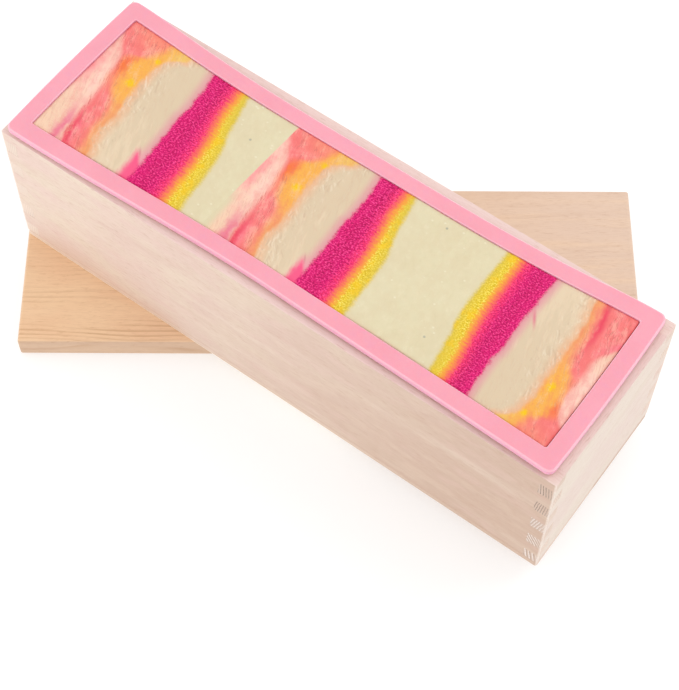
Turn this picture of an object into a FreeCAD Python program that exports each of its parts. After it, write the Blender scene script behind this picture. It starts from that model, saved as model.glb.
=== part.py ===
import FreeCAD, Part
import math
import os

# Soap loaf mould: a finger-jointed wooden box with a silicone liner, standing askew on its own lid board.
# Millimetres, +Z up. The origin is on the lid's underside, straight below the middle of the box.
# +X runs along the box, +Y towards its rear side panel.

# Lid board, a loose plank that the box stands on
LID_LENGTH = 280.0
LID_WIDTH = 83.0
LID_THICKNESS = 11.0
LID_TURN_DEG = 36.0            # the lid's length, turned from the box's length about +Z
LID_CENTRE_X = -17.6
LID_CENTRE_Y = 25.0
LID_EDGE_RADIUS = 1.2

# Wooden box
BOX_LENGTH = 280.0
BOX_WIDTH = 88.0
PANEL_THICKNESS = 7.0
PANEL_HEIGHT = 76.0
BASE_THICKNESS = 4.0
BASE_CORNER_RADIUS = 1.2
BASE_EDGE_RADIUS = 0.6

# Finger joints at the four upright corners
TOP_FINGER_HEIGHT = 5.9        # the side panels keep the top finger
FINGER_HEIGHT = 7.9

# Brads up through the base panel into the four panels
BRAD_RADIUS = 0.6
BRAD_LENGTH = 16.0
BRAD_HEAD_RADIUS = 1.2
BRAD_HEAD_HEIGHT = 0.8
BRAD_SIDE_COUNT = 4            # in each side panel
BRAD_SIDE_PITCH = 78.0

# Silicone liner
CAVITY_LENGTH = 258.0          # at the mouth
CAVITY_WIDTH = 69.4
LINER_WALL = 2.0
LINER_FLOOR = 3.0
LINER_DRAFT_DEG = 1.0          # the walls lean in towards the floor
LINER_CORNER_RADIUS = 2.0      # upright corners of the cavity
LINER_FLOOR_RADIUS = 1.8       # edge between the cavity's floor and walls
FLANGE_LENGTH = 274.0
FLANGE_WIDTH = 86.0
FLANGE_THICKNESS = 3.2
FLANGE_CORNER_RADIUS = 3.5
FLANGE_EDGE_RADIUS = 1.0
FLANGE_LIFT = 1.6              # the flange stands this far above the wooden rim

# Heights that follow
BASE_BOTTOM = LID_THICKNESS
BASE_TOP = BASE_BOTTOM + BASE_THICKNESS
RIM = BASE_TOP + PANEL_HEIGHT
FLANGE_BOTTOM = RIM + FLANGE_LIFT
FLANGE_TOP = FLANGE_BOTTOM + FLANGE_THICKNESS

UP = FreeCAD.Vector(0, 0, 1)
TOLERANCE = 0.01


def block(length, width, height, x, y, z):
    """A box centred on x, y that stands on height z."""
    corner = FreeCAD.Vector(x - length / 2, y - width / 2, z)
    return Part.makeBox(length, width, height, corner)


def edges_where(shape, test):
    """The shape's edges that pass the test."""
    return [edge for edge in shape.Edges if test(edge)]


def is_upright(edge):
    """True for a straight edge that rises more than it runs."""
    box = edge.BoundBox
    return box.ZLength > max(box.XLength, box.YLength) and len(edge.Vertexes) == 2


def lies_at(edge, z):
    """True for an edge that lies flat at height z."""
    return abs(edge.BoundBox.ZMin - z) < TOLERANCE and abs(edge.BoundBox.ZMax - z) < TOLERANCE


def finger_spans():
    """The height spans of the fingers from the rim down, as (bottom, top, owner)."""
    spans = []
    top = RIM
    height = TOP_FINGER_HEIGHT
    owner = "side"
    while top > BASE_TOP + TOLERANCE:
        bottom = max(top - height, BASE_TOP)
        spans.append((bottom, top, owner))
        top = bottom
        height = FINGER_HEIGHT
        owner = "end" if owner == "side" else "side"
    return spans


def side_panel(direction):
    """A long panel: the stretch between the end panels, and its own fingers at both ends."""
    y = direction * (BOX_WIDTH - PANEL_THICKNESS) / 2
    panel = block(BOX_LENGTH - 2 * PANEL_THICKNESS, PANEL_THICKNESS, PANEL_HEIGHT, 0, y, BASE_TOP)
    fingers = [
        block(BOX_LENGTH, PANEL_THICKNESS, top - bottom, 0, y, bottom)
        for bottom, top, owner in finger_spans()
        if owner == "side"
    ]
    return panel.fuse(fingers).removeSplitter()


def end_panel(direction):
    """A short panel: the stretch between the side panels, and its own fingers at both ends."""
    x = direction * (BOX_LENGTH - PANEL_THICKNESS) / 2
    panel = block(PANEL_THICKNESS, BOX_WIDTH - 2 * PANEL_THICKNESS, PANEL_HEIGHT, x, 0, BASE_TOP)
    fingers = [
        block(PANEL_THICKNESS, BOX_WIDTH, top - bottom, x, 0, bottom)
        for bottom, top, owner in finger_spans()
        if owner == "end"
    ]
    return panel.fuse(fingers).removeSplitter()


def base_panel():
    """The thin board under the four panels, with eased corners and foot."""
    board = block(BOX_LENGTH, BOX_WIDTH, BASE_THICKNESS, 0, 0, BASE_BOTTOM)
    board = board.makeFillet(BASE_CORNER_RADIUS, edges_where(board, is_upright))
    foot = edges_where(board, lambda edge: lies_at(edge, BASE_BOTTOM))
    return board.makeFillet(BASE_EDGE_RADIUS, foot)


def brad_places():
    """Where the brads stand: along both side panels, and one in the middle of each end panel."""
    places = []
    for direction in (-1, 1):
        y = direction * (BOX_WIDTH - PANEL_THICKNESS) / 2
        for index in range(BRAD_SIDE_COUNT):
            x = (index - (BRAD_SIDE_COUNT - 1) / 2) * BRAD_SIDE_PITCH
            places.append((x, y))
        places.append((direction * (BOX_LENGTH - PANEL_THICKNESS) / 2, 0.0))
    return places


def brad(x, y):
    """One brad, its head flush with the base panel's underside."""
    head = Part.makeCylinder(BRAD_HEAD_RADIUS, BRAD_HEAD_HEIGHT, FreeCAD.Vector(x, y, BASE_BOTTOM), UP)
    shank = Part.makeCylinder(BRAD_RADIUS, BRAD_LENGTH, FreeCAD.Vector(x, y, BASE_BOTTOM), UP)
    return head.fuse(shank).removeSplitter()


def rounded_outline(length, width, radius, z):
    """A closed rectangle with rounded corners, centred on the Z axis at height z."""
    half_x = length / 2
    half_y = width / 2
    inset_x = half_x - radius
    inset_y = half_y - radius
    chord = radius * math.sqrt(0.5)
    edges = []
    for side_x, side_y in ((1, 1), (-1, 1), (-1, -1), (1, -1)):
        on_end = FreeCAD.Vector(side_x * half_x, side_y * inset_y, z)
        on_corner = FreeCAD.Vector(side_x * (inset_x + chord), side_y * (inset_y + chord), z)
        on_side = FreeCAD.Vector(side_x * inset_x, side_y * half_y, z)
        edges.append(Part.Arc(on_end, on_corner, on_side).toShape())
    for side in (1, -1):
        along = (FreeCAD.Vector(inset_x, side * half_y, z), FreeCAD.Vector(-inset_x, side * half_y, z))
        across = (FreeCAD.Vector(side * half_x, inset_y, z), FreeCAD.Vector(side * half_x, -inset_y, z))
        edges.append(Part.LineSegment(*along).toShape())
        edges.append(Part.LineSegment(*across).toShape())
    return Part.Wire(Part.sortEdges(edges)[0])


def tapered_block(length, width, top, bottom, corner_radius):
    """A block with rounded upright corners whose walls lean in from the top down, by the liner's draft."""
    lean = (top - bottom) * math.tan(math.radians(LINER_DRAFT_DEG))
    outlines = []
    for z, inset in ((top, 0.0), (bottom, lean)):
        outlines.append(rounded_outline(length - 2 * inset, width - 2 * inset, corner_radius, z))
    return Part.makeLoft(outlines, True, True)


def silicone_liner():
    """One moulded piece: a tub with leaning walls, hung from a flat flange."""
    tub = tapered_block(
        CAVITY_LENGTH + 2 * LINER_WALL,
        CAVITY_WIDTH + 2 * LINER_WALL,
        FLANGE_TOP,
        BASE_TOP,
        LINER_CORNER_RADIUS + LINER_WALL,
    )
    outline = Part.Face(rounded_outline(FLANGE_LENGTH, FLANGE_WIDTH, FLANGE_CORNER_RADIUS, FLANGE_BOTTOM))
    flange = outline.extrude(UP * FLANGE_THICKNESS)
    outer_top = edges_where(flange, lambda edge: lies_at(edge, FLANGE_TOP))
    flange = flange.makeFillet(FLANGE_EDGE_RADIUS, outer_top)
    cavity = tapered_block(
        CAVITY_LENGTH,
        CAVITY_WIDTH,
        FLANGE_TOP,
        BASE_TOP + LINER_FLOOR,
        LINER_CORNER_RADIUS,
    )
    floor_edges = edges_where(cavity, lambda edge: lies_at(edge, BASE_TOP + LINER_FLOOR))
    cavity = cavity.makeFillet(LINER_FLOOR_RADIUS, floor_edges)
    return flange.fuse(tub).removeSplitter().cut(cavity)


def lid_board():
    """The plain lid board with eased edges, turned under the box."""
    board = block(LID_LENGTH, LID_WIDTH, LID_THICKNESS, 0, 0, 0)
    board = board.makeFillet(LID_EDGE_RADIUS, board.Edges)
    board.rotate(FreeCAD.Vector(0, 0, 0), UP, LID_TURN_DEG)
    board.translate(FreeCAD.Vector(LID_CENTRE_X, LID_CENTRE_Y, 0))
    return board


def build():
    """Every sub-part by name."""
    brads = [brad(x, y) for x, y in brad_places()]
    wood = {
        "front_side_panel": side_panel(-1),
        "rear_side_panel": side_panel(1),
        "left_end_panel": end_panel(-1),
        "right_end_panel": end_panel(1),
        "base_panel": base_panel(),
    }
    parts = {name: panel.cut(brads) for name, panel in wood.items()}
    parts["base_brads"] = Part.makeCompound(brads)
    parts["silicone_liner"] = silicone_liner()
    parts["lid_board"] = lid_board()
    return parts


os.makedirs("parts", exist_ok=True)
for name, shape in build().items():
    if not shape.isValid():
        raise ValueError(name + " is not a valid shape")
    shape.exportStep("parts/" + name + ".step")
    box = shape.BoundBox
    print(
        name,
        len(shape.Solids),
        "solids",
        round(shape.Volume),
        "mm3",
        "z",
        round(box.ZMin, 2),
        round(box.ZMax, 2),
    )
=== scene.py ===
import math

import bpy
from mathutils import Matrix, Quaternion, Vector, noise


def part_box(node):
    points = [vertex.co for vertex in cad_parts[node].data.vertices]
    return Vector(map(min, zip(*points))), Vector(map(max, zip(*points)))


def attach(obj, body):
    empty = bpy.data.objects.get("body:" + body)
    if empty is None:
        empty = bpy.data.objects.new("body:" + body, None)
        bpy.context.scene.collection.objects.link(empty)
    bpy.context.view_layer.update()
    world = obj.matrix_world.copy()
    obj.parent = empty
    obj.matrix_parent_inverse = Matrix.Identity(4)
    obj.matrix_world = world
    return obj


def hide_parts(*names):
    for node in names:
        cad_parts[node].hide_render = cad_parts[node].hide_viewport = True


# Soap loaf mould: a finger-jointed wooden box with a soft pink liner full of swirled soap,
# standing askew on its own lid board. The wooden parts and their places come from the frame.

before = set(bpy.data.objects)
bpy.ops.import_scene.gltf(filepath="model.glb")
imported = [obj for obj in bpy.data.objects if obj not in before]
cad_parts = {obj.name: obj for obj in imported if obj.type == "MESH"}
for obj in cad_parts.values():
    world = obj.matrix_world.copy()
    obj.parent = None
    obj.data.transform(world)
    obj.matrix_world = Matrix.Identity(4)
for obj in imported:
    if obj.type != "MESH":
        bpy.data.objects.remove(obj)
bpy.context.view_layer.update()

MM = 0.001

# ---- Sizes that follow the frame ----

LINER_LOW, LINER_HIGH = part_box("silicone_liner")
BOX_HALF_X, BOX_HALF_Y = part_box("base_panel")[1].x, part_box("base_panel")[1].y
BOX_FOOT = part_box("base_panel")[0].z
RIM_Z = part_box("front_side_panel")[1].z
FLOOR_Z = LINER_LOW.z
FLANGE_HALF_X = LINER_HIGH.x
FLANGE_HALF_Y = LINER_HIGH.y
FLANGE_TOP_Z = LINER_HIGH.z - 0.1 * MM

# ---- Colours ----


def srgb(red, green, blue):
    """A linear colour from the 0 to 255 values that a colour picker shows."""
    shares = [value / 255 for value in (red, green, blue)]
    linear = [share / 12.92 if share <= 0.04045 else ((share + 0.055) / 1.055) ** 2.4 for share in shares]
    return (*linear, 1.0)


# ---- Shader nodes as arithmetic ----


class Field:
    """A number or vector that varies over a surface: a shader socket that arithmetic works on."""

    def __init__(self, net, socket):
        self.net = net
        self.socket = socket

    def __add__(self, other):
        return self.net.math("ADD", self, other)

    __radd__ = __add__

    def __sub__(self, other):
        return self.net.math("SUBTRACT", self, other)

    def __rsub__(self, other):
        return self.net.math("SUBTRACT", other, self)

    def __mul__(self, other):
        return self.net.math("MULTIPLY", self, other)

    __rmul__ = __mul__

    def __truediv__(self, other):
        return self.net.math("DIVIDE", self, other)

    def __neg__(self):
        return self * -1.0

    def __abs__(self):
        return self.net.math("ABSOLUTE", self)

    def above(self, level):
        """1 where the field is above the level, and 0 elsewhere."""
        return self.net.math("GREATER_THAN", self, level)

    def below(self, level):
        """1 where the field is below the level, and 0 elsewhere."""
        return self.net.math("LESS_THAN", self, level)

    def rise(self, low, high):
        """0 at low, 1 at high, and a smooth step between them. low may be the larger."""
        places = {"Value": self, "From Min": low, "From Max": high}
        return self.net.node("ShaderNodeMapRange", places, interpolation_type="SMOOTHSTEP")

    def hump(self, centre, reach):
        """1 at the centre, falling smoothly to 0 at reach on both sides."""
        return abs(self - centre).rise(reach, 0.0)


class Net:
    """The node tree of one material, with a Principled shader at its end."""

    def __init__(self, name):
        self.material = bpy.data.materials.new(name)
        self.material.use_nodes = True
        self.tree = self.material.node_tree
        self.tree.nodes.clear()
        self.shader = self.tree.nodes.new("ShaderNodeBsdfPrincipled")
        output = self.tree.nodes.new("ShaderNodeOutputMaterial")
        self.tree.links.new(self.shader.outputs["BSDF"], output.inputs["Surface"])

    def node(self, kind, inputs=(), output=0, **settings):
        """A new node. Its inputs are numbers, colours or fields, by name or place."""
        made = self.tree.nodes.new(kind)
        for key, value in settings.items():
            setattr(made, key, value)
        for key, value in dict(inputs).items():
            self.feed(made.inputs[key], value)
        return Field(self, made.outputs[output])

    def feed(self, socket, value):
        """Links a field to the socket, or sets a plain number or colour on it."""
        if isinstance(value, Field):
            self.tree.links.new(value.socket, socket)
        else:
            socket.default_value = value

    def finish(self, **sockets):
        """Feeds the shader's sockets, named with underscores for spaces."""
        for key, value in sockets.items():
            self.feed(self.shader.inputs[key.replace("_", " ")], value)
        return self.material

    def math(self, operation, *values):
        return self.node("ShaderNodeMath", enumerate(values), operation=operation)

    def mix(self, factor, first, second):
        """The first colour where the factor is 0, and the second where it is 1."""
        return self.node("ShaderNodeMix", {0: factor, 6: first, 7: second}, output=2, data_type="RGBA")

    def noise(self, vector, scale, detail=2.0, roughness=0.5, distortion=0.0):
        """Smooth noise, mostly from 0.3 to 0.7 and centred on 0.5."""
        places = {"Vector": vector, "Scale": scale, "Detail": detail, "Roughness": roughness}
        return self.node("ShaderNodeTexNoise", places | {"Distortion": distortion})

    def cells(self, vector, scale):
        """The distance to the nearest of many scattered points."""
        return self.node("ShaderNodeTexVoronoi", {"Vector": vector, "Scale": scale}, output="Distance")

    def curve(self, value, low, high, points):
        """A smooth curve through points (value, result), for values from low to high."""
        results = [result for _, result in points]
        floor, ceiling = min(results), max(results)
        made = self.tree.nodes.new("ShaderNodeFloatCurve")
        line = made.mapping.curves[0]
        for place, result in points[1:-1]:
            line.points.new((place - low) / (high - low), (result - floor) / (ceiling - floor))
        for end, (_, result) in ((0, points[0]), (-1, points[-1])):
            line.points[end].location[1] = (result - floor) / (ceiling - floor)
        made.mapping.update()
        self.feed(made.inputs["Value"], (value - low) * (1.0 / (high - low)))
        return Field(self, made.outputs[0]) * (ceiling - floor) + floor

    def combine(self, x, y, z):
        return self.node("ShaderNodeCombineXYZ", enumerate((x, y, z)))

    def length(self, x, y):
        """The length of the flat vector x, y."""
        return self.math("SQRT", x * x + y * y)

    def position_mm(self):
        """The object's own x, y and z at each point, in millimetres."""
        place = self.node("ShaderNodeTexCoord", output="Object")
        parts = self.tree.nodes.new("ShaderNodeSeparateXYZ")
        self.feed(parts.inputs[0], place)
        return [Field(self, out) * 1000.0 for out in parts.outputs]

    def facing(self, axis):
        """How squarely the surface faces along an axis of the object, from 0 to 1."""
        normal = self.node("ShaderNodeNewGeometry", output="True Normal")
        spaces = {"vector_type": "NORMAL", "convert_from": "WORLD", "convert_to": "OBJECT"}
        turned = self.node("ShaderNodeVectorTransform", {0: normal}, **spaces)
        dot = self.node("ShaderNodeVectorMath", {0: turned, 1: axis}, output=1, operation="DOT_PRODUCT")
        return abs(dot)

    def bump(self, height, distance_mm, strength=1.0):
        """A shading normal from a height that spans about distance_mm."""
        places = {"Strength": strength, "Distance": distance_mm * MM, "Height": height}
        return self.node("ShaderNodeBump", places)


# ---- Wood: lengths in millimetres ----

FINGER_PAIR = 15.8
FIRST_FINGER_TOP = 85.1  # the height of the first end panel finger's top
BASE_TOP = FLOOR_Z / MM  # the glue line between base panel and side panels
RIM = RIM_Z / MM
SQUARE_ON = (0.6, 0.85)  # from here to here, a surface comes to count as facing a way

# A painted highlight along the box's upright corners
CORNER_HIGHLIGHT = srgb(250, 238, 228)
FLUSH_TONE = srgb(237, 203, 196)
SAND_TONE = srgb(238, 217, 197)
RING_SHADE = srgb(150, 122, 106)
DARK_RING = srgb(104, 80, 68)
PALE_RING = srgb(252, 246, 242)

# End grain of the fingers from the top down: the rings' slant and pitch, how pale their lines are,
# and how strongly they show on the ground between them
LEFT_ENDS = {
    "slants": (0.1, -0.3, -0.35, 0.3, 0.1),
    "pitches": (1.1, 1.1, 1.1, 1.2, 1.3),
    "pale": (0.0, 0.1, 0.2, 0.2, 0.1),
    "contrast": 0.22,
    "ground": srgb(241, 220, 204),
}
SIDE_ENDS = {
    "slants": (0.4, -0.3, 0.2, 0.5, -0.4),
    "pitches": (1.2, 1.4, 1.2, 1.5, 1.3),
    "pale": (0.2, 0.4, 0.3, 0.5, 0.4),
    "contrast": 0.3,
    "ground": srgb(233, 212, 197),
}
RIGHT_ENDS = {
    "slants": (-0.1, 0.12, 0.26, -0.55, -0.2),
    "pitches": (1.2, 1.05, 1.25, 1.7, 1.8),
    "pale": (0.0, 0.0, 0.85, 1.0, 1.0),
    "contrast": 0.95,
    "ground": srgb(211, 185, 168),
}


class Grain:
    """One board's directions, and the noises that are drawn out along its grain."""

    def __init__(self, net, turn_deg, seed):
        self.net = net
        self.x, self.y, self.z = net.position_mm()
        cos, sin = math.cos(math.radians(turn_deg)), math.sin(math.radians(turn_deg))
        self.along = self.x * cos + self.y * sin
        self.across = self.y * cos - self.x * sin
        self.end = net.facing((cos, sin, 0.0)).rise(*SQUARE_ON)
        self.up = net.facing((0.0, 0.0, 1.0)).rise(*SQUARE_ON)
        self.seed = seed
        self.fibre = self.noise(0.22, 2.2, seed, detail=3.0, roughness=0.7)
        self.streak = self.noise(0.012, 0.15, seed, detail=3.0, roughness=0.55)
        self.blotch = self.noise(0.024, 0.045, seed * 2.0, detail=3.0, roughness=0.55)
        pores = self.noise(0.22, 1.9, -seed, detail=1.0)
        self.pore = pores.rise(0.64, 0.74)
        self.glint = pores.rise(0.36, 0.27)

    def noise(self, along_scale, across_scale, offset, **settings):
        """Noise with its own scale per millimetre along and across the grain."""
        place = self.net.combine(
            self.along * along_scale, self.across * across_scale, self.z * across_scale + offset
        )
        return self.net.noise(place, 1.0, **settings)

    def ring_lines(self, heart, ring_mm, share, zone):
        """Growth rings round a far heart, bent by a slow drift and patchy along the board."""
        drift = self.noise(0.007, 0.028, self.seed) - 0.5
        side = self.across - heart[0] + drift * 18.0
        ring = self.net.math("FRACT", self.net.length(side, self.z - heart[1]) * (1.0 / ring_mm))
        patchy = self.noise(0.014, 0.1, -self.seed).rise(0.38, 0.66)
        line = ring.rise(0.35, 0.9) * (1.0 - ring.rise(0.9, 1.0)) * patchy * share
        if zone:
            line = line * (0.2 + self.across.rise(*zone) * 0.8)
        return line

    def end_grain(self, ends, face_tone, from_corner):
        """The rings cut across, each finger's leaning its own way: their colour and their depth."""
        net = self.net
        finger = net.math("FLOOR", (FIRST_FINGER_TOP - self.z) * (1.0 / FINGER_PAIR))
        slant, pitch, pale = (
            net.curve(finger, 0.0, 4.0, list(enumerate(ends[key]))) for key in ("slants", "pitches", "pale")
        )
        place = net.combine(self.across, self.z, self.along)
        wander = net.noise(place, 0.4) - 0.5
        fleck = net.noise(place, 1.6).rise(0.3, 0.65)
        cut = (self.across + self.along * (1.0 - self.end) + self.z * slant + wander * 0.7) / pitch
        ring = net.math("FRACT", cut)
        line = ring.rise(0.3, 0.5) * (1.0 - ring.rise(0.55, 0.75))
        shown = (0.5 + fleck * 0.5) * (0.5 + from_corner.rise(0.6, 3.6) * 0.5) * ends["contrast"]
        like_face = self.blotch.rise(0.4, 0.6) * 0.3 + self.y.above(0.0) * 0.6
        ground = net.mix(like_face, ends["ground"], face_tone)
        ground = net.mix(ring.hump(0.12, 0.2) * pale * shown * 0.8, ground, RING_SHADE)
        colour = net.mix(line * shown, ground, net.mix(pale, DARK_RING, PALE_RING))
        return colour, line * self.end * ends["contrast"], fleck


def wood(
    name, turn_deg, tones, line_tone, heart, ring_mm, seed,
    ring_share=0.08, ring_zone=None, fibre_share=0.2, flush_share=0.0, ends=SIDE_ENDS,
    drift_to=None, drift_slope=0.0, flank_shade_tone=None, bounce_light_tone=None, foot_highlight_tone=None,
):
    """Sanded pale softwood as a solid: growth rings round a far heart, stretched along the grain.

    turn_deg is the grain's direction, from X. tones are three face colours. heart is the rings'
    centre across the grain and up, and ring_zone is where they grow clear. flush_share is the
    strength of pink and sandy mottling. The board drifts to drift_to at its right, and by
    drift_slope more so lower down. flank_shade_tone paints shade on its long sides,
    bounce_light_tone paints pink bounce light on its upper edge, and foot_highlight_tone paints
    a highlight on its lower arris.
    """
    net = Net(name)
    grain = Grain(net, turn_deg, seed)
    z, up = grain.z, grain.up
    line = grain.ring_lines(heart, ring_mm, ring_share, ring_zone)

    # Soft blotches of tone over the whole board
    tone = net.mix(grain.blotch.rise(0.36, 0.6), tones[0], tones[1])
    if drift_to:
        far = grain.along + (50.0 - z) * drift_slope + (grain.blotch - 0.5) * 60.0
        tone = net.mix(far.rise(-150.0, 150.0), tone, drift_to)
    # Painted shade on the long sides, which face away from the top
    if flank_shade_tone:
        tone = net.mix((1.0 - up) * (1.0 - grain.end), tone, flank_shade_tone)
    # Painted pink bounce light on the top faces at the rim, where the flange shades them
    if bounce_light_tone:
        tone = net.mix(up * (z - RIM).rise(-1.0, -0.4), tone, bounce_light_tone)
    if flush_share:
        flush = grain.noise(0.045, 0.11, seed * -2.0, roughness=0.55)
        tone = net.mix(flush.rise(0.5, 0.66) * flush_share, tone, FLUSH_TONE)
        tone = net.mix(flush.rise(0.48, 0.34) * flush_share, tone, SAND_TONE)

    # Streaks, rings, fibres, pores and painted glints, the glue line, and a painted highlight on the lower
    # arris
    tone = net.mix(grain.streak.rise(0.45, 0.75) * 0.3, tone, tones[2])
    tone = net.mix(line, tone, line_tone)
    tone = net.mix(grain.fibre.rise(0.44, 0.7) * fibre_share, tone, line_tone)
    tone = net.mix(grain.pore * fibre_share * 1.3, tone, line_tone)
    tone = net.mix(grain.glint * 0.12, tone, tones[2])
    glue_line = (z - BASE_TOP).hump(0.0, 0.5) * (1.0 - up)
    tone = net.mix(glue_line * 0.35, tone, line_tone)
    # A painted highlight along the base's lower arris, fading out towards the right
    if foot_highlight_tone:
        foot = (z - BASE_TOP).rise(-3.0, -3.4) * grain.x.rise(60.0, 20.0)
        tone = net.mix(foot, tone, foot_highlight_tone)

    # End grain, and a painted highlight along the upright corners
    to_corner_x = abs(grain.x) - BOX_HALF_X / MM
    to_corner_y = abs(grain.y) - BOX_HALF_Y / MM
    from_corner = net.math("MAXIMUM", -to_corner_x, -to_corner_y)
    end_tone, cut_depth, fleck = grain.end_grain(ends, tone, from_corner)
    colour = net.mix(grain.end, tone, end_tone)
    corner_highlight = to_corner_x.rise(-0.9, -0.3) * to_corner_y.rise(-0.9, -0.3) * z.above(BOX_FOOT / MM)
    colour = net.mix(corner_highlight * (0.35 + fleck * 0.4), colour, CORNER_HIGHLIGHT)

    height = grain.fibre * 0.6 - line * 0.5 - grain.pore * 0.8 - cut_depth * 0.6
    return net.finish(
        Base_Color=colour,
        Roughness=0.6 + grain.streak * 0.18 + grain.pore * 0.1,
        Normal=net.bump(height, 0.06, 0.8),
        Specular_IOR_Level=0.3,
    )


# ---- Silicone ----

PINK, PALE_PINK = srgb(241, 160, 176), srgb(243, 164, 180)
MAUVE_CLOUD = srgb(236, 158, 188)
DEEP_SPECK, WARM_SPECK = srgb(242, 150, 176), srgb(244, 176, 182)
# A painted highlight for the flange's edges, and painted cool light for its upright flank
EDGE_HIGHLIGHT = srgb(255, 210, 222)
FLANK_COOL_LIGHT = srgb(238, 176, 206)


def silicone():
    """Soft satin silicone: faint mottling, a painted highlight on the flange's edges, painted cool light on
    its flank, and light that passes through it.
    """
    net = Net("pink_silicone")
    x, y, z = net.position_mm()
    place = net.combine(x, y, z)
    below_top = z - FLANGE_TOP_Z / MM
    mottle = net.noise(place, 0.05, detail=3.0)
    cloud = net.noise(place, 0.28, detail=3.0, roughness=0.6)
    speck = net.noise(place, 1.1, detail=3.0, roughness=0.6)
    skin_grain = net.noise(place, 1.6, detail=4.0, roughness=0.6)
    colour = net.mix(mottle.rise(0.35, 0.65), PINK, PALE_PINK)
    colour = net.mix(cloud.rise(0.5, 0.7) * 0.25, colour, MAUVE_CLOUD)
    colour = net.mix(speck.rise(0.52, 0.75) * 0.22, colour, DEEP_SPECK)
    colour = net.mix(speck.rise(0.46, 0.3) * 0.25, colour, WARM_SPECK)

    # The flange's rounded edges get a painted highlight, and its upright flank painted cool, pale light
    up = net.facing((0.0, 0.0, 1.0))
    edge = up.rise(0.15, 0.5) * (1.0 - up.rise(0.9, 0.99)) * below_top.rise(-1.6, -0.9)
    colour = net.mix(edge * 0.55, colour, EDGE_HIGHLIGHT)
    flank = (1.0 - up.rise(0.1, 0.5)) * below_top.rise(-3.6, -2.8)
    colour = net.mix(flank * 0.6, colour, FLANK_COOL_LIGHT)
    net.shader.subsurface_method = "RANDOM_WALK"
    return net.finish(
        Base_Color=colour,
        Roughness=0.42 + mottle * 0.12 + speck * 0.06,
        Normal=net.bump(skin_grain, 0.05, 0.35),
        Specular_IOR_Level=0.45,
        Subsurface_Weight=0.3,
        Subsurface_Radius=(1.0, 0.45, 0.5),
        Subsurface_Scale=0.002,
        Sheen_Weight=0.08,
        Sheen_Roughness=0.5,
    )


# ---- Soap: lengths in millimetres ----

SOAP = {
    "cream": (221, 208, 173), "pale_cream": (223, 212, 177), "speck": (140, 146, 140),
    "light_curd": (234, 224, 194), "dark_curd": (208, 196, 156), "fleck": (242, 236, 212),
    "oval": (219, 198, 168), "pale_oval": (227, 206, 176), "oval_glow": (235, 178, 136),
    "light_rough": (240, 222, 198), "dark_rough": (206, 176, 146), "seam": (232, 146, 88),
    "dent_lit": (243, 229, 208), "dent_shaded": (204, 178, 150), "lilac": (222, 150, 160),
    "peach": (243, 182, 168), "light_peach": (247, 200, 184), "cream_peach": (240, 203, 176),
    "peach_streak": (247, 214, 196), "wall_pink": (250, 156, 158), "mauve_pink": (232, 108, 144),
    "coral": (242, 124, 121), "soft_coral": (245, 134, 134), "light_coral": (244, 142, 116),
    "low_pink": (252, 134, 154), "rose": (232, 72, 96), "hot_orange": (242, 118, 60),
    "orange": (243, 176, 80), "low_orange": (240, 164, 108), "pale_orange": (237, 196, 104),
    "yolk": (243, 196, 20), "light_daub": (250, 214, 180), "red_daub": (226, 96, 100),
    "crease": (206, 140, 118), "coral_crease": (206, 78, 84), "notch": (236, 158, 172),
    "tooth": (243, 92, 136), "hair_line": (196, 100, 116), "feather": (222, 124, 142),
    "magenta": (221, 15, 112), "dark_magenta": (172, 0, 78), "light_magenta": (250, 82, 152),
    "red": (244, 52, 106), "red_orange": (241, 112, 88), "amber": (240, 160, 62),
    "yellow": (237, 206, 52), "dark_yellow": (208, 176, 34), "light_yellow": (246, 234, 128),
    "dull_yellow": (224, 194, 66), "olive": (206, 182, 62),
}

# Three stretches along the loaf with the same layers: where each starts counting, and how much
# shorter the later two are drawn. The third is turned about.
FIRST_ORIGIN = -130.0
SECOND_START, THIRD_START = -39.1, 49.0
THIRD_ORIGIN = 133.85
SECOND_PACE, THIRD_PACE = 1.074, 1.15
SECOND_SHIFT, THIRD_SHIFT = 1.0, 5.0
LEAN = 0.045  # the first two stretches' layers lean along the loaf, per mm across

SWIRL_REACH = 40.0  # the curves below run this far to both sides of the loaf's middle

# Where each layer starts, as (towards the rear side, along the stretch)
CORAL_FROM = (
    (-40, 14.4), (-30, 13.6), (-20, 12.2), (-10, 11.9), (0, 11.2), (6, 9.9),
    (11, 9.2), (15, 8.0), (20, 4.6), (26, 1), (40, -8),
)
ORANGE_FROM = (
    (-40, 24), (-30, 22.8), (-20, 21.2), (-10, 20.6), (0, 15.6), (10, 13.4),
    (15, 12.6), (20, 17), (25, 21), (40, 26),
)
OVAL_FROM = (
    (-40, 28.8), (-30, 26.8), (-20, 24.4), (-10, 25.1), (0, 24.2), (10, 23.8),
    (20, 24.6), (25, 27.6), (30, 34.3), (40, 38),
)
MAGENTA_FROM = (
    (-40, 49.5), (-5, 49.1), (4.5, 48.6), (8, 49.3), (20, 48.9), (30, 47.9), (40, 46.5),
)
BLUSH_FROM = (
    (-40, 66), (-20, 65.6), (-10, 65.3), (0, 64.3), (10, 62.5), (20, 60.9), (30, 60.7), (40, 60.5),
)
YELLOW_TO = (
    (-40, 77), (-30, 76.1), (-10, 75.1), (0, 74), (10, 71), (20, 68.9), (30, 66.9), (40, 64.5),
)
RED_STREAK_AT = ((-40, 18), (-34, 16.2), (-27, 14), (-20, 13.6), (40, 13.6))

YOLK_SPOTS = ((23.6, 21.5, 2.4), (20.4, 6.0, 3.2))  # (along, across, reach)
SPECKS = ((-50.3, 13.0), (41.6, 25.4), (63.2, -21.8))  # (X, Y) in the loaf


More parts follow.
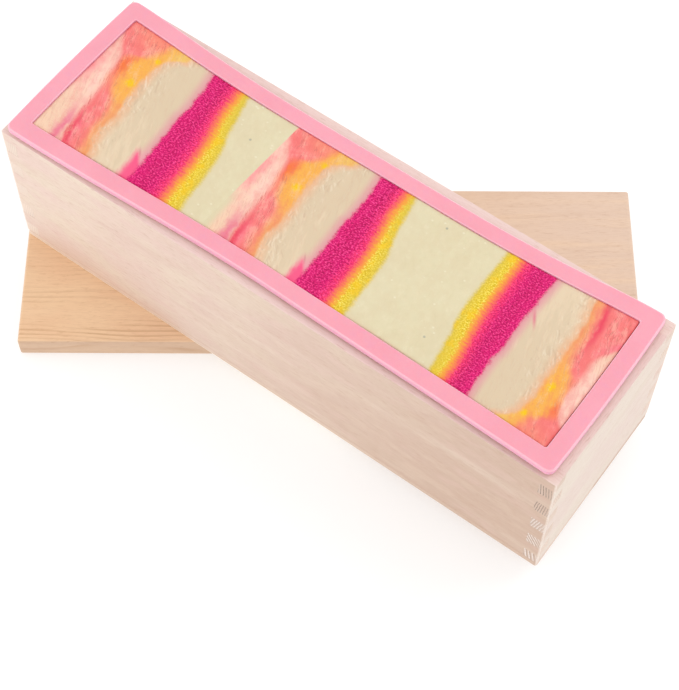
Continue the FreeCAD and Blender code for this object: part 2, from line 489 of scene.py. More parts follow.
class Swirl:
    """Places in the swirl, and the noises and edges that its layers share.

    s runs along a stretch and w across it, towards the rear side. drawn is s as the brushed layers
    see it, and neat as the grainy band sees it. second and third are 1 in their stretch. The past_
    fields are how far a point lies past a layer's start.
    """

    def __init__(self, net):
        self.net = net
        self.x, self.y, z = net.position_mm()
        lean = self.y * LEAN
        first = (self.x - lean).below(SECOND_START)
        self.third = self.x.above(THIRD_START)
        self.second = 1.0 - first - self.third
        self.s = (
            first * (self.x + lean - FIRST_ORIGIN)
            + self.second * SECOND_PACE * (self.x - SECOND_START)
            + self.third * THIRD_PACE * (THIRD_ORIGIN - self.x)
        )
        self.w = first * self.y + self.second * (self.y + SECOND_SHIFT)
        self.w = self.w - self.third * (self.y + THIRD_SHIFT)
        self.seed = self.second * 11.0 + self.third * 23.0
        self.make_noises(net.combine(self.s, self.w, z * 0.35 + self.seed))
        self.make_edges()

    def make_noises(self, place):
        """Noises that bend and roughen the layers, from slow drifts to fine grain."""
        net, s, w, seed = self.net, self.s, self.w, self.seed
        self.slow = net.noise(place, 0.07) - 0.5
        self.quick = net.noise(place, 0.25) - 0.5
        self.fine = net.noise(place, 1.3) - 0.5
        self.ragged = net.noise(place, 0.8, detail=3.0, roughness=0.55)
        brush_at = net.combine(s * 0.7 + w * 0.25, w * 0.16 - s * 0.05, seed)
        self.brush = net.noise(brush_at, 0.5, detail=3.0) - 0.5
        crease_at = net.combine(s * 0.9 + w * 0.3 + self.slow * 3.0, w * 0.1, seed + 5.0)
        creases = net.noise(crease_at, 0.75, detail=3.0, roughness=0.6)
        self.crease = creases.hump(0.5, 0.035) * self.brush.rise(-0.12, 0.1)
        self.drawn = s + self.slow * 2.4 + self.quick * 2.4 + self.brush * 2.4 + self.crease * 0.5
        self.neat = s + self.slow * 0.8 + self.quick * 0.7 + self.fine * 0.7
        fringe_at = net.combine(s * 0.2, w * 1.1, seed + 2.0)
        self.fringe = net.noise(fringe_at, 1.0) - 0.5
        grain_at = net.combine(s * 0.8, w * 1.2 + self.slow * 2.0, seed)
        self.grain = net.noise(grain_at, 1.35, roughness=0.6)

    def make_edges(self):
        """The layers' starts as fields. The third stretch's differ a little from the curves."""
        w, third = self.w, self.third
        coral_shift = w.hump(9.0, 16.0) * 3.6 - w.rise(-12.0, -40.0) * 20.0
        self.past_coral = self.drawn - (self.edge(CORAL_FROM) + third * coral_shift)
        self.past_orange = self.drawn - self.edge(ORANGE_FROM)
        self.past_oval = self.drawn - self.edge(OVAL_FROM)
        self.magenta_from = self.edge(MAGENTA_FROM) + third * (0.7 - w.rise(-14.0, -36.0) * 1.1)
        self.blush_from = self.edge(BLUSH_FROM)
        self.yellow_to = self.edge(YELLOW_TO) + third * (w * 0.05 + 1.0)

    def edge(self, points):
        return self.net.curve(self.w, -SWIRL_REACH, SWIRL_REACH, points)

    def mix(self, factor, first, second):
        """Mixes two colours, each a field or a name from the soap's colours."""
        first, second = (srgb(*SOAP[tone]) if tone in SOAP else tone for tone in (first, second))
        return self.net.mix(factor, first, second)

    def spot(self, at_s, at_w, reach):
        """1 inside a soft-edged round spot."""
        off_s = self.s + self.quick * 2.0 - at_s
        off_w = self.w + self.slow * 2.0 - at_w
        return self.net.length(off_s, off_w).rise(reach, reach * 0.25)

    def dent(self, shift):
        """Noise for small dents. Two of them, shifted apart along the loaf, give the dents' slope."""
        place = self.net.combine(
            self.s * 0.5 + self.w * 0.3 + self.slow * 3.0 + shift,
            self.w * 0.24 - self.s * 0.16,
            self.seed + 9.0,
        )
        return self.net.noise(place, 0.6, roughness=0.6, distortion=0.6)


def paint_cream(swirl, rough):
    """Cream, with a warmer oval in the middle of the swirl that is roughened, and dents drawn in painted
    light and shade.
    """
    mix, w = swirl.mix, swirl.w
    colour = mix((swirl.slow + swirl.quick * 0.5).rise(-0.12, 0.14), "cream", "pale_cream")
    oval = mix((w * -0.05 + swirl.brush * 6.0).rise(0.2, 1.6), "oval", "pale_oval")
    oval = mix(swirl.past_oval.rise(6.5, 0.0) * 0.8, oval, "oval_glow")
    oval = mix(rough.rise(0.02, 0.2) * 0.4, oval, "light_rough")
    oval = mix(rough.rise(-0.02, -0.2) * 0.4, oval, "dark_rough")
    # Small dents drawn only as painted highlights and painted shade, from two shifted noises
    dented = swirl.past_oval.rise(19.0, 3.0) * (swirl.quick + swirl.slow).rise(-0.12, 0.12)
    dents = (swirl.dent(0.2) - swirl.dent(-0.2)) * dented
    oval = mix(dents.rise(0.01, 0.13) * 0.36, oval, "dent_lit")
    oval = mix(dents.rise(-0.01, -0.12) * 0.5, oval, "dent_shaded")
    colour = mix(swirl.s.rise(62.0, 50.0), colour, oval)
    lilac = (swirl.s - swirl.magenta_from).rise(-5.6, -0.2) * swirl.s.below(56.0)
    return mix(lilac * 0.85, colour, "lilac")


def paint_peach(swirl):
    """Peach, pinker at the wall and creamier at its foot, with two drawn-out streaks."""
    mix, s, w, slow, quick = swirl.mix, swirl.s, swirl.w, swirl.slow, swirl.quick
    peach = mix((swirl.brush + quick).rise(-0.16, 0.2), "peach", "light_peach")
    peach = mix((w + slow * 20.0 + s * 0.6).rise(1.0, -22.0), peach, "cream_peach")
    at_wall = (s - 1.0 + slow * 3.0).hump(0.0, 5.0) * w.hump(4.0, 17.0)
    peach = mix(at_wall * 0.85, peach, "wall_pink")
    peach = mix(swirl.past_coral.hump(-4.0, 3.4) * w.hump(0.0, 17.0) * 0.6, peach, "peach_streak")
    mauve = (swirl.drawn + quick * 4.0 + w * 0.04).hump(8.4, 4.6) * w.rise(-10.0, -27.0)
    return mix(mauve * (1.0 - swirl.third) * 0.85, peach, "mauve_pink")


def paint_coral(swirl):
    """Coral, lighter at the middle and the rear, pink at the front and hot next to the orange."""
    mix, w, past_coral = swirl.mix, swirl.w, swirl.past_coral
    coral = mix((swirl.brush + swirl.quick).rise(-0.14, 0.16), "coral", "soft_coral")
    coral = mix(w.hump(3.0, 9.0) * 0.9, coral, "light_coral")
    coral = mix(w.rise(14.0, 30.0) * past_coral.rise(0.0, 20.0) * 0.8, coral, "light_coral")
    coral = mix(w.rise(-13.0, -27.0) * past_coral.rise(6.0, 2.0) * 0.7, coral, "low_pink")
    return mix(swirl.past_orange.hump(-1.0, 4.5) * w.hump(11.5, 10.5), coral, "hot_orange")


def paint_orange(swirl):
    """Orange with two yolk yellow spots, paler where it trails off along the rear wall."""
    mix, w, past_orange = swirl.mix, swirl.w, swirl.past_orange
    orange = mix(w.rise(2.0, -14.0), "orange", "low_orange")
    orange = mix(w.rise(20.0, 30.0) * past_orange.rise(0.0, 10.0), orange, "pale_orange")
    orange = mix(past_orange.hump(0.0, 4.0) * w.hump(14.0, 7.0), orange, "hot_orange")
    for at_s, at_w, reach in YOLK_SPOTS:
        orange = mix(swirl.spot(at_s, at_w, reach), orange, "yolk")
    return orange


def paint_swirl(swirl, colour):
    """The brushed layers over the cream: peach, coral and orange, with a red streak and creases."""
    mix, w = swirl.mix, swirl.w
    layers = mix(swirl.past_coral.rise(-1.8, 1.8), paint_peach(swirl), paint_coral(swirl))
    red_streak = (swirl.drawn - swirl.edge(RED_STREAK_AT) - swirl.third * 5.0).hump(0.0, 3.0)
    layers = mix(red_streak * w.rise(-8.0, -28.0), layers, "rose")
    layers = mix(swirl.past_orange.rise(-2.8, 3.0), layers, paint_orange(swirl))
    colour = mix(swirl.past_oval.rise(1.4, -1.4), colour, layers)
    seam = (swirl.past_oval + 0.9).hump(0.0, 1.3) * w.rise(-7.0, -13.0)
    colour = mix(seam * 0.4, colour, "seam")
    painted = (-swirl.past_oval).rise(-2.0, 2.0)
    daub = swirl.brush + swirl.fine * 0.5 + swirl.quick * 0.5
    colour = mix(daub.rise(0.0, 0.26) * painted * 0.26, colour, "light_daub")
    colour = mix(daub.rise(0.0, -0.26) * painted * 0.26, colour, "red_daub")
    colour = mix(swirl.crease * swirl.s.below(47.0) * (0.12 + painted * 0.2), colour, "crease")
    coral = swirl.past_coral.rise(-2.0, 1.0) * (-swirl.past_orange).rise(-3.0, 1.0)
    return mix(swirl.crease * coral * 0.5, colour, "coral_crease")


def paint_tooth(swirl, colour):
    """The pink tooth at the magenta's foot, no more than a pale feather in the turned stretch."""
    mix, s, w, slow = swirl.mix, swirl.s, swirl.w, swirl.slow
    upright = 1.0 - swirl.third
    foot = s.below(56.0) * upright
    off_tooth = (w + 18.0) + (s - 44.5) * 1.3
    notch = (s + slow * 2.0 - 44.4).rise(-2.6, 1.8) * (w + slow * 6.0).rise(-15.0, -22.0)
    colour = mix(notch * foot * 0.6, colour, "notch")
    tooth = (swirl.drawn - 44.9).rise(-2.2, 1.8) * (off_tooth + swirl.fine * 1.5).rise(0.7, -2.6)
    colour = mix(tooth * foot, colour, "tooth")
    hair_line = off_tooth.hump(0.0, 1.2) * s.hump(45.6, 2.2)
    colour = mix(hair_line * upright * 0.45, colour, "hair_line")
    off_feather = (w + 20.0) * 0.6 + (s - 49.3) * 0.8
    feather = off_feather.hump(0.0, 1.3) * s.hump(46.2, 4.2)
    return mix(feather * swirl.third * 0.85, colour, "feather")


def paint_magenta(swirl, blush):
    """Grainy magenta, darkest at its core and redder where it starts to blush."""
    mix, grain = swirl.mix, swirl.grain
    magenta = mix(blush.rise(-6.5, -0.8), "magenta", "red")
    core = (swirl.neat - swirl.magenta_from - swirl.quick * 5.0).hump(7.0, 5.0)
    dark_grain = grain.rise(0.5, 0.38) * (0.25 + blush.rise(0.0, -5.0) * 0.6)
    magenta = mix(core * 0.22 + dark_grain, magenta, "dark_magenta")
    magenta = mix(grain.rise(0.52, 0.64) * 0.85, magenta, "light_magenta")
    magenta = mix(blush.rise(-1.7, 1.1), magenta, "red_orange")
    return mix(blush.rise(0.5, 3.1), magenta, "amber")


def paint_yellow(swirl, to_cream):
    """Grainy yellow, duller and more olive towards the plain cream."""
    mix, grain = swirl.mix, swirl.grain
    yellow = mix(grain.rise(0.4, 0.52), "dark_yellow", "yellow")
    yellow = mix(grain.rise(0.52, 0.64) * 0.75, yellow, "light_yellow")
    dull = to_cream.rise(5.5, 0.5) * 0.6 + swirl.w.rise(4.0, 16.0) * 0.3
    yellow = mix(dull, yellow, "dull_yellow")
    yellow = mix((swirl.slow + swirl.quick).rise(0.02, 0.18) * 0.6, yellow, "yolk")
    return mix(to_cream.rise(3.4, 0.0) * grain.rise(0.62, 0.4) * 0.8, yellow, "olive")


def paint_band(swirl, colour):
    """The grainy band over the cream: magenta that blushes through red and orange into yellow."""
    mix, fine, fringe = swirl.mix, swirl.fine, swirl.fringe
    blush = swirl.neat + fine * 1.8 + fringe * 4.0 + swirl.grain * 3.0 - 1.5 - swirl.blush_from
    to_cream = swirl.yellow_to - swirl.neat
    layers = mix(blush.rise(2.6, 5.2), paint_magenta(swirl, blush), paint_yellow(swirl, to_cream))
    spur = swirl.quick * 2.2 + fringe.rise(0.1, 0.3) * 1.6 + fine * 1.2
    inner = (swirl.neat + spur - swirl.magenta_from).rise(-1.1, 0.9)
    outer = (to_cream + swirl.quick * 2.4 + fringe * 1.5 + fine * 1.5).rise(-1.6, 1.2)
    band = inner * outer
    return mix(band, colour, layers), band


def paint_plain(swirl, colour):
    """The second stretch's faded start, and the plain cream's grey specks, curds and pale flecks."""
    net, mix, s, w = swirl.net, swirl.mix, swirl.s, swirl.w
    veil = swirl.second * s.rise(3.8, -0.4) * (swirl.y + swirl.slow * 8.0).rise(-8.0, -18.0)
    colour = mix(veil, colour, "cream")
    for at_x, at_y in SPECKS:
        near = net.length(swirl.x - at_x, swirl.y - at_y).rise(0.75, 0.3)
        colour = mix(near * 0.6, colour, "speck")
    plain = (s - swirl.yellow_to).rise(1.0, 3.0)
    curd_at = net.combine(s * 0.8 + w * 0.4, w * 0.5 - s * 0.3, swirl.seed)
    curd = net.noise(curd_at, 0.5, detail=4.0, roughness=0.65)
    colour = mix(curd.rise(0.5, 0.72) * plain * 0.3, colour, "light_curd")
    colour = mix(curd.rise(0.48, 0.28) * plain * 0.25, colour, "dark_curd")
    fleck = net.cells(net.combine(s + 31.0, w * 1.3, swirl.seed + swirl.quick * 3.0), 0.2)
    return mix(fleck.rise(0.16, 0.06) * plain * 0.45, colour, "fleck")


def soap():
    """Layered swirl soap. Each stretch of the loaf has the same layers, and the last one is turned."""
    net = Net("soap")
    swirl = Swirl(net)
    s, w = swirl.s, swirl.w
    rough_at = net.combine(s * 0.8 + w * 0.5, w * 0.4 - s * 0.3, swirl.seed - 3.0)
    rough = (net.noise(rough_at, 0.6, detail=4.0, roughness=0.6) - 0.5) * swirl.past_oval.rise(16.0, 2.0)
    colour = paint_cream(swirl, rough)
    colour = paint_swirl(swirl, colour)
    colour = paint_tooth(swirl, colour)
    colour, band = paint_band(swirl, colour)
    colour = paint_plain(swirl, colour)
    brushed = (swirl.brush * 0.8 - swirl.crease * 0.5 + rough * 3.0) * s.below(48.0)
    height = swirl.ragged * 0.6 + swirl.grain * band * 1.6 + brushed
    return net.finish(
        Base_Color=colour,
        Roughness=0.5 + swirl.ragged * 0.2,
        Normal=net.bump(height, 0.12, 0.5),
        Specular_IOR_Level=0.22,
        Subsurface_Weight=0.08,
        Subsurface_Radius=(1.0, 0.7, 0.5),
        Subsurface_Scale=0.002,
    )


# ---- Liner and soap meshes ----

FLANGE_THICKNESS = 3.0 * MM
FLANGE_WIDTH_X = 8.0 * MM
FLANGE_WIDTH_Y = 8.3 * MM
MOUTH_HALF_X = FLANGE_HALF_X - FLANGE_WIDTH_X
MOUTH_HALF_Y = FLANGE_HALF_Y - FLANGE_WIDTH_Y
WALL = 1.6 * MM
LINER_FLOOR = 3.0 * MM
DRAFT = math.tan(math.radians(1.0))

# Rounded edges of the liner's section
FOOT_RADIUS = 1.2 * MM
ROOT_RADIUS = 0.8 * MM  # under the flange, where it meets the wall
UNDER_RADIUS = 0.55 * MM
RIM_RADIUS = 1.0 * MM
LIP_RADIUS = 0.5 * MM  # where the flange turns down into the mouth
HOLLOW_RADIUS = 1.8 * MM

# Upright corners of the liner, as seen from above
FOOT_CORNER, WALL_CORNER, FLANGE_CORNER = 3.5 * MM, 3.0 * MM, 3.2 * MM
MOUTH_CORNER, CAVITY_CORNER, HOLLOW_CORNER = 0.8 * MM, 1.2 * MM, 2.0 * MM

# Points along each side and corner of a ring of the liner
LONG_STEPS, SHORT_STEPS, CORNER_STEPS = 96, 28, 6

# How the soft liner sits and bends
SEAT_SHIFT = Vector((-0.6 * MM, -0.35 * MM, 0.0))  # it sits a little askew in its box
SEAT_TURN = math.radians(0.1)
BOW_BACK, BOW_FRONT_LEFT, BOW_FRONT_RIGHT = 4.8 * MM, 3.4 * MM, 2.9 * MM
BOW_PEAK_X = -12 * MM  # the front side's bow is deepest here
BOW_LEFT_REACH, BOW_RIGHT_REACH, BOW_SETTLE = 125 * MM, 149 * MM, 24 * MM
END_BULGE = 0.8 * MM
FLANGE_DIP = 0.5 * MM
FLANGE_WAVE = 0.25 * MM
RIPPLE_DEPTH = 6 * MM  # the unevenness dies out this far below the rim

# The poured soap
SOAP_COLUMNS, SOAP_ROWS = 258, 70
SOAP_LEVEL = 0.6 * MM  # the soap stands this far below the flange's top
SOAP_FOOT = 3.2 * MM  # and this far above the liner's underside
SOAP_GAP = 0.12 * MM  # and this far from the liner's walls
SOAP_END_GAP = 0.45 * MM  # but it has shrunk back further from the right end
SOAP_FRONT_GAP = 0.34 * MM  # and from two stretches of the front wall, by middle and reach
SOAP_FRONT_GAPS = ((-87 * MM, 25 * MM), (57 * MM, 18 * MM))
SOAP_ROLL_OFF = 0.35 * MM  # its top dips this much at the edge
SOAP_LUMPS = ((30, 0.4, 0.14 * MM), (160, 5.2, 0.07 * MM))  # (scale per metre, seed, height)


def add_object(name, data):
    made = bpy.data.objects.new(name, data)
    bpy.context.scene.collection.objects.link(made)
    return made


def add_mesh(name, points, faces):
    """A smooth-shaded object from points and faces."""
    mesh = bpy.data.meshes.new(name)
    mesh.from_pydata([tuple(point) for point in points], [], faces)
    mesh.validate()
    mesh.update()
    mesh.shade_smooth()
    return add_object(name, mesh)


def height_share(z):
    """0 at the liner's foot and 1 at the flange's top."""
    return max(0.0, (z - FLOOR_Z) / (FLANGE_TOP_Z - FLOOR_Z))


def bow(x, y, z):
    """How far the soft liner leans from its straight shape at a point: long walls in, ends out."""
    along = min(1.0, abs(x) / FLANGE_HALF_X)
    across = min(1.0, abs(y) / FLANGE_HALF_Y)
    from_peak = x - BOW_PEAK_X
    if y > 0:
        inwards = -BOW_BACK * math.cos(math.pi / 2 * along**2.2) ** 2
    elif from_peak < 0:
        inwards = BOW_FRONT_LEFT * math.cos(math.pi / 2 * min(1.0, -from_peak / BOW_LEFT_REACH)) ** 2
    else:
        bend = min(1.0, from_peak / BOW_RIGHT_REACH) ** 1.6
        settled = math.exp(-((from_peak / BOW_SETTLE) ** 2))
        inwards = BOW_FRONT_RIGHT + (BOW_FRONT_LEFT - BOW_FRONT_RIGHT) * settled
        inwards *= 1 - bend
    height = height_share(z) ** 1.5
    outwards = math.copysign(END_BULGE, x) * along**6 * (1 - across**2)
    return Vector((outwards * height, inwards * across * height, 0.0))


def ripple(x, y, z):
    """The flange's slight unevenness in height: it dips between the ends and waves a little."""
    near_top = max(0.0, min(1.0, (z - RIM_Z) / RIPPLE_DEPTH + 1))
    dip = -FLANGE_DIP * max(0.0, 1 - (abs(x) / FLANGE_HALF_X) ** 2)
    wave = (noise.noise(Vector((x * 18, y * 18, 3.1))) - 0.3) * FLANGE_WAVE
    return (dip + wave) * near_top


def soften(point):
    """A point of the straight liner, moved to where the soft one has it."""
    x, y, z = point
    moved = Vector(point) + bow(x, y, z) + Vector((0.0, 0.0, ripple(x, y, z)))
    turned = Vector((-moved.y, moved.x, 0.0)) * SEAT_TURN
    return moved + (SEAT_SHIFT + turned) * height_share(z)


def ring_points(half_x, half_y, radius, z):
    """Points round a rectangle with rounded corners, the same number whatever its size."""
    points = []
    for corner in range(4):
        sign_x = 1 if corner in (0, 1) else -1
        sign_y = 1 if corner in (1, 2) else -1
        start = -90 + 90 * corner
        centre = Vector((sign_x * (half_x - radius), sign_y * (half_y - radius), z))
        for step in range(CORNER_STEPS + 1):
            angle = math.radians(start + 90 * step / CORNER_STEPS)
            points.append(centre + radius * Vector((math.cos(angle), math.sin(angle), 0)))
        last = points[-1]
        following = last.copy()
        if corner in (0, 2):
            steps = SHORT_STEPS
            following.y = -sign_y * (half_y - radius)
        else:
            steps = LONG_STEPS
            following.x = -sign_x * (half_x - radius)
        for step in range(1, steps):
            points.append(last.lerp(following, step / steps))
    return points


def arc(centre_out, centre_z, radius, from_deg, to_deg, steps):
    """Steps of a quarter round in a wall's section, as (distance outwards, height)."""
    turned = []
    for step in range(steps + 1):
        angle = math.radians(from_deg + (to_deg - from_deg) * step / steps)
        turned.append((centre_out + radius * math.cos(angle), centre_z + radius * math.sin(angle)))
    return turned


def skin(name, rings):
    """A closed mesh from rings of points joined in order, capped at its first and last ring."""
    count = len(rings[0])
    points = [point for one in rings for point in one]
    faces = []
    for level in range(len(rings) - 1):
        low, high = level * count, (level + 1) * count
        for index in range(count):
            after = (index + 1) % count
            faces.append((low + index, low + after, high + after, high + index))
    faces.append(tuple(range(count - 1, -1, -1)))
    last = (len(rings) - 1) * count
    faces.append(tuple(range(last, last + count)))
    return add_mesh(name, points, faces)


def wall_out(z):
    """How far the drafted wall stands out from the mouth at a height: inwards, so below zero."""
    return -(FLANGE_TOP_Z - z) * DRAFT


def liner_section():
    """The liner's section from the middle of its underside, round the flange and down inside.

    Each entry is (distance out from the mouth along X, the same along Y, height, corner radius).
    """
    top = FLANGE_TOP_Z
    under = top - FLANGE_THICKNESS
    floor = FLOOR_Z + LINER_FLOOR
    section = []
    foot_out = WALL + wall_out(FLOOR_Z) - FOOT_RADIUS
    for out, z in arc(foot_out, FLOOR_Z + FOOT_RADIUS, FOOT_RADIUS, -90, 0, 4):
        section.append((out, out, z, FOOT_CORNER))
    for share in (0.2, 0.4, 0.6, 0.75, 0.87, 0.95):
        z = FLOOR_Z + (under - FLOOR_Z) * share
        section.append((WALL + wall_out(z), WALL + wall_out(z), z, WALL_CORNER))
    for out, z in arc(WALL + ROOT_RADIUS, under - ROOT_RADIUS, ROOT_RADIUS, 180, 90, 3):
        section.append((out, out, z, WALL_CORNER))
    flange_edge = arc(-UNDER_RADIUS, under + UNDER_RADIUS, UNDER_RADIUS, -90, 0, 3)
    flange_edge += arc(-RIM_RADIUS, top - RIM_RADIUS, RIM_RADIUS, 0, 90, 5)
    for out, z in flange_edge:
        section.append((FLANGE_WIDTH_X + out, FLANGE_WIDTH_Y + out, z, FLANGE_CORNER))
    for share in (0.72, 0.45, 0.2):
        corner = MOUTH_CORNER + (FLANGE_CORNER - MOUTH_CORNER) * share
        section.append((FLANGE_WIDTH_X * share, FLANGE_WIDTH_Y * share, top, corner))
    for out, z in arc(LIP_RADIUS, top - LIP_RADIUS, LIP_RADIUS, 90, 180, 4):
        section.append((out, out, z, MOUTH_CORNER))
    for share in (0.93, 0.8, 0.6, 0.4, 0.2):
        z = floor + (top - floor) * share
        section.append((wall_out(z), wall_out(z), z, CAVITY_CORNER))
    for out, z in arc(wall_out(floor) - HOLLOW_RADIUS, floor + HOLLOW_RADIUS, HOLLOW_RADIUS, 0, -90, 5):
        section.append((out, out, z, HOLLOW_CORNER))
    return section


def make_liner():
    """The soft liner, in place of the frame's straight one."""
    rings = []
    for out_x, out_y, z, radius in liner_section():
        straight = ring_points(MOUTH_HALF_X + out_x, MOUTH_HALF_Y + out_y, radius, z)
        rings.append([soften(point) for point in straight])
    liner = skin("liner_moulding", rings)
    liner.data.materials.append(silicone())
    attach(liner, "liner")
    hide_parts("silicone_liner")


def soap_point(column, row, z):
    """A point of the straight loaf's side or top, at a column along it and a row across."""
    lean = (FLANGE_TOP_Z - z) * DRAFT + SOAP_GAP
    share_x = column / SOAP_COLUMNS * 2 - 1
    share_y = row / SOAP_ROWS * 2 - 1
    x = share_x * (MOUTH_HALF_X - lean)
    if share_x > 0:
        x -= share_x * (SOAP_END_GAP - SOAP_GAP)
    shrunk = 0.0
    if share_y < 0:
        for middle, reach in SOAP_FRONT_GAPS:
            shrunk += SOAP_FRONT_GAP * math.exp(-(((x - middle) / reach) ** 4))
    return x, share_y * (MOUTH_HALF_Y - lean - shrunk), z


def soap_top(column, row):
    """A point of the loaf's top, which is a little lumpy and rolls off at its edge."""
    x, y, z = soap_point(column, row, FLANGE_TOP_Z - SOAP_LEVEL)
    near_edge = min(column, SOAP_COLUMNS - column, row, SOAP_ROWS - row)
    rise = -SOAP_ROLL_OFF * math.exp(-near_edge * 1.1)
    for scale, seed, height in SOAP_LUMPS:
        rise += noise.noise(Vector((x * scale, y * scale, seed))) * height
    return soften((x, y, z)) + Vector((0.0, 0.0, rise))


def make_soap():
    """The poured loaf: a dense, slightly uneven top and plain sides that follow the liner's walls."""
    top = FLANGE_TOP_Z - SOAP_LEVEL
    bottom = FLOOR_Z + SOAP_FOOT
    width = SOAP_COLUMNS + 1
    points = [soap_top(column, row) for row in range(SOAP_ROWS + 1) for column in range(width)]
    faces = []
    for row in range(SOAP_ROWS):
        for column in range(SOAP_COLUMNS):
            corner = row * width + column
            faces.append((corner, corner + 1, corner + width + 1, corner + width))
    border = [(column, 0) for column in range(SOAP_COLUMNS)]
    border += [(SOAP_COLUMNS, row) for row in range(SOAP_ROWS)]
    border += [(column, SOAP_ROWS) for column in range(SOAP_COLUMNS, 0, -1)]
    border += [(0, row) for row in range(SOAP_ROWS, 0, -1)]
    above = [row * width + column for column, row in border]
    for share, inset in ((0.85, 1.0), (0.6, 1.0), (0.3, 1.0), (0.05, 1.0), (0.0, 0.992)):
        z = bottom + (top - bottom) * share
        below = list(range(len(points), len(points) + len(border)))
        for column, row in border:
            softened = soften(soap_point(column, row, z))
            points.append(Vector((softened.x * inset, softened.y * inset, softened.z)))
        for index in range(len(border)):
            after = (index + 1) % len(border)
            faces.append((above[index], below[index], below[after], above[after]))
        above = below
    faces.append(tuple(reversed(above)))
    loaf = add_mesh("soap_loaf", points, faces)
    loaf.data.materials.append(soap())
    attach(loaf, "liner")


# ---- The wooden parts and brads: carried over from the frame, with their own materials ----

SIDE_TONES = (srgb(236, 217, 199), srgb(235, 210, 198), srgb(241, 224, 208))
END_TONES = (srgb(233, 219, 206), srgb(232, 214, 204), srgb(239, 227, 215))
BASE_TONES = (srgb(238, 218, 200), srgb(235, 211, 196), srgb(244, 226, 208))
LID_TONES = (srgb(241, 206, 168), srgb(238, 199, 161), srgb(246, 214, 178))
BOX_LINE = srgb(192, 150, 122)
LID_LINE = srgb(176, 126, 80)
# Painted pink bounce light that lightens the flange's shadow on the rim tops
RIM_BOUNCE_LIGHT = srgb(236, 211, 204)
FRONT_RIGHT_TONE = srgb(210, 182, 163)
LID_RIGHT_TONE = srgb(227, 200, 180)
# Painted shade for the lid's long sides
LID_FLANK_SHADE = srgb(216, 184, 158)
# A painted highlight for the base's lower arris
ARRIS_HIGHLIGHT = srgb(255, 242, 222)
DARK_STEEL = srgb(150, 148, 146)
PALE_STEEL = srgb(182, 180, 176)

LID_TURN_DEG = 36
EASED_WIDTH = 0.35 * MM


def ease_edges(node):
    """Rounds a board's sharp edges as sanding does. The board itself stays as it is."""
    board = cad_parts[node]
    weld = board.modifiers.new("weld", "WELD")
    weld.merge_threshold = 0.01 * MM
    flat = board.modifiers.new("flat", "DECIMATE")
    flat.decimate_type = "DISSOLVE"
    flat.angle_limit = math.radians(1.0)
    rounded = board.modifiers.new("rounded", "BEVEL")
    rounded.width = EASED_WIDTH
    rounded.segments = 3
    rounded.limit_method = "ANGLE"
    rounded.angle_limit = math.radians(50)
    rounded.harden_normals = True
    board.data.shade_smooth()


def dress(node, material):
    """Gives a part of the frame its only material."""
    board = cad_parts[node]
    board.data.materials.clear()
    board.data.materials.append(material)


def make_boards():
    """The box's four panels with eased edges, the base panel, and the lid with clearer rings."""
    front = wood(
        "front_side_wood", 0, SIDE_TONES, BOX_LINE, (60.0, 40.0), 5.2, 3.3,
        drift_to=FRONT_RIGHT_TONE, drift_slope=0.7, bounce_light_tone=RIM_BOUNCE_LIGHT, flush_share=0.16,
    )
    rear = wood("rear_side_wood", 0, SIDE_TONES, BOX_LINE, (-70.0, 55.0), 4.6, 8.1, bounce_light_tone=RIM_BOUNCE_LIGHT)
    left = wood(
        "left_end_wood", 90, END_TONES, BOX_LINE, (60.0, 60.0), 4.4, 12.7,
        ends=LEFT_ENDS, bounce_light_tone=RIM_BOUNCE_LIGHT,
    )
    right = wood(
        "right_end_wood", 90, END_TONES, BOX_LINE, (-60.0, 45.0), 4.9, 17.2,
        ends=RIGHT_ENDS, bounce_light_tone=RIM_BOUNCE_LIGHT,
    )
    base = wood(
        "base_wood", 0, BASE_TONES, BOX_LINE, (0.0, -40.0), 5.6, 21.9,
        drift_to=FRONT_RIGHT_TONE, foot_highlight_tone=ARRIS_HIGHLIGHT,
    )
    lid = wood(
        "lid_wood", LID_TURN_DEG, LID_TONES, LID_LINE, (70.0, -10.0), 2.4, 27.4,
        ring_share=0.5, ring_zone=(22.0, -6.0), fibre_share=0.14, drift_to=LID_RIGHT_TONE,
        flank_shade_tone=LID_FLANK_SHADE,
    )
    panels = ("front_side_panel", "rear_side_panel", "left_end_panel", "right_end_panel")
    for node, material in zip(panels, (front, rear, left, right)):
        dress(node, material)
        ease_edges(node)
    dress("base_panel", base)
    dress("lid_board", lid)


def make_brads():
    """Plain steel brads, a little scuffed."""
    net = Net("brad_steel")
    scuff = net.noise(net.combine(*net.position_mm()), 3.0, detail=3.0)
    steel = net.finish(
        Base_Color=net.mix(scuff.rise(0.35, 0.7), DARK_STEEL, PALE_STEEL),
        Metallic=0.9,
        Roughness=0.35 + scuff * 0.25,
        Normal=net.bump(scuff, 0.02, 0.5),
    )
    dress("base_brads", steel)


# ---- Floor, lights and camera ----

VIEW_AZIMUTH_DEG, VIEW_ELEVATION_DEG, VIEW_ROLL_DEG = 35.97, 60.7, 0.31
VIEW_TARGET = Vector((0.0073, -0.0017, 0.0))
VIEW_DISTANCE = 0.806
LENS_MM = 92.5
FLOOR_REACH = 6.0
WORLD_COLOUR = (1.0, 0.995, 0.99, 1.0)
WORLD_STRENGTH = 0.97

# Azimuth and elevation in degrees, distance and size in metres, and watts
SOFTBOXES = {
    "key": (140, 55, 1.3, 0.7, 2.2),
    "fill": (-58, 22, 1.0, 0.5, 1.1),
}


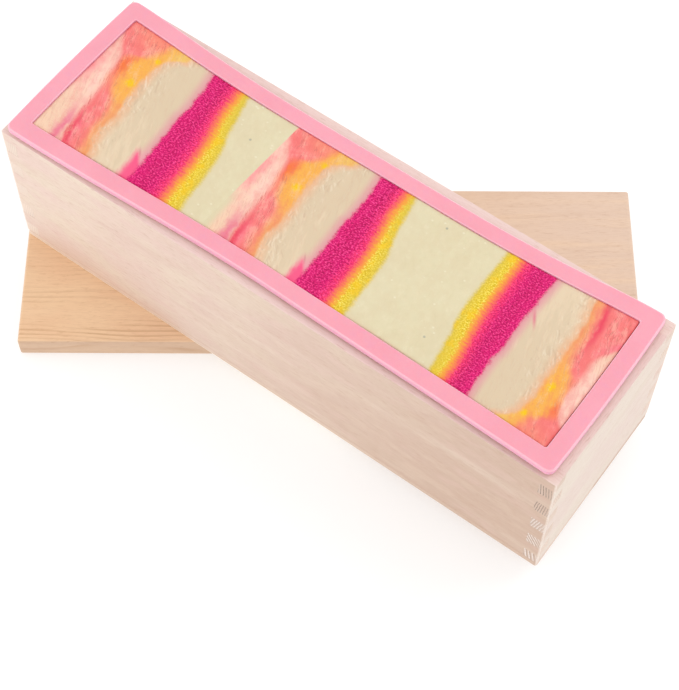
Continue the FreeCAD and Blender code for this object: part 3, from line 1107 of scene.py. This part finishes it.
def make_floor():
    """A plain pale floor that glows a little, so that it reads as white."""
    corners = [(x * FLOOR_REACH, y * FLOOR_REACH, 0) for x, y in ((-1, -1), (1, -1), (1, 1), (-1, 1))]
    floor = add_mesh("floor", corners, [(0, 1, 2, 3)])
    white = Net("pale_floor").finish(
        Base_Color=srgb(206, 206, 206),
        Roughness=0.9,
        Specular_IOR_Level=0.1,
        Emission_Color=(1.0, 1.0, 1.0, 1.0),
        Emission_Strength=0.45,
    )
    floor.data.materials.append(white)


def direction(azimuth_deg, elevation_deg):
    """The way out from the middle at an azimuth and elevation, as the views count them."""
    azimuth, elevation = math.radians(azimuth_deg), math.radians(elevation_deg)
    flat = math.cos(elevation)
    return Vector((math.sin(azimuth) * flat, -math.cos(azimuth) * flat, math.sin(elevation)))


def make_lights():
    """An even white world, and two weak softboxes that shape the object."""
    world = bpy.data.worlds.new("studio")
    world.use_nodes = True
    background = world.node_tree.nodes["Background"].inputs
    background["Color"].default_value = WORLD_COLOUR
    background["Strength"].default_value = WORLD_STRENGTH
    bpy.context.scene.world = world
    for name, (azimuth_deg, elevation_deg, distance, size, watts) in SOFTBOXES.items():
        lamp = bpy.data.lights.new(name, "AREA")
        lamp.shape = "DISK"
        lamp.size = size
        lamp.energy = watts
        holder = add_object(name, lamp)
        out = direction(azimuth_deg, elevation_deg)
        holder.location = out * distance
        holder.rotation_euler = out.to_track_quat("Z", "Y").to_euler()


def make_camera():
    """The camera of the main view, rolled very slightly."""
    data = bpy.data.cameras.new("camera")
    data.lens = LENS_MM
    data.clip_start, data.clip_end = 0.01, 50.0
    camera = add_object("camera", data)
    back = direction(VIEW_AZIMUTH_DEG, VIEW_ELEVATION_DEG)
    camera.location = VIEW_TARGET + back * VIEW_DISTANCE
    camera.rotation_mode = "QUATERNION"
    level = (-back).to_track_quat("-Z", "Y")
    roll = Quaternion((0, 0, 1), math.radians(VIEW_ROLL_DEG))
    camera.rotation_quaternion = level @ roll
    bpy.context.scene.camera = camera


bpy.context.scene.view_settings.view_transform = "Standard"
make_floor()
make_lights()
make_camera()
make_boards()
make_brads()
make_liner()
make_soap()
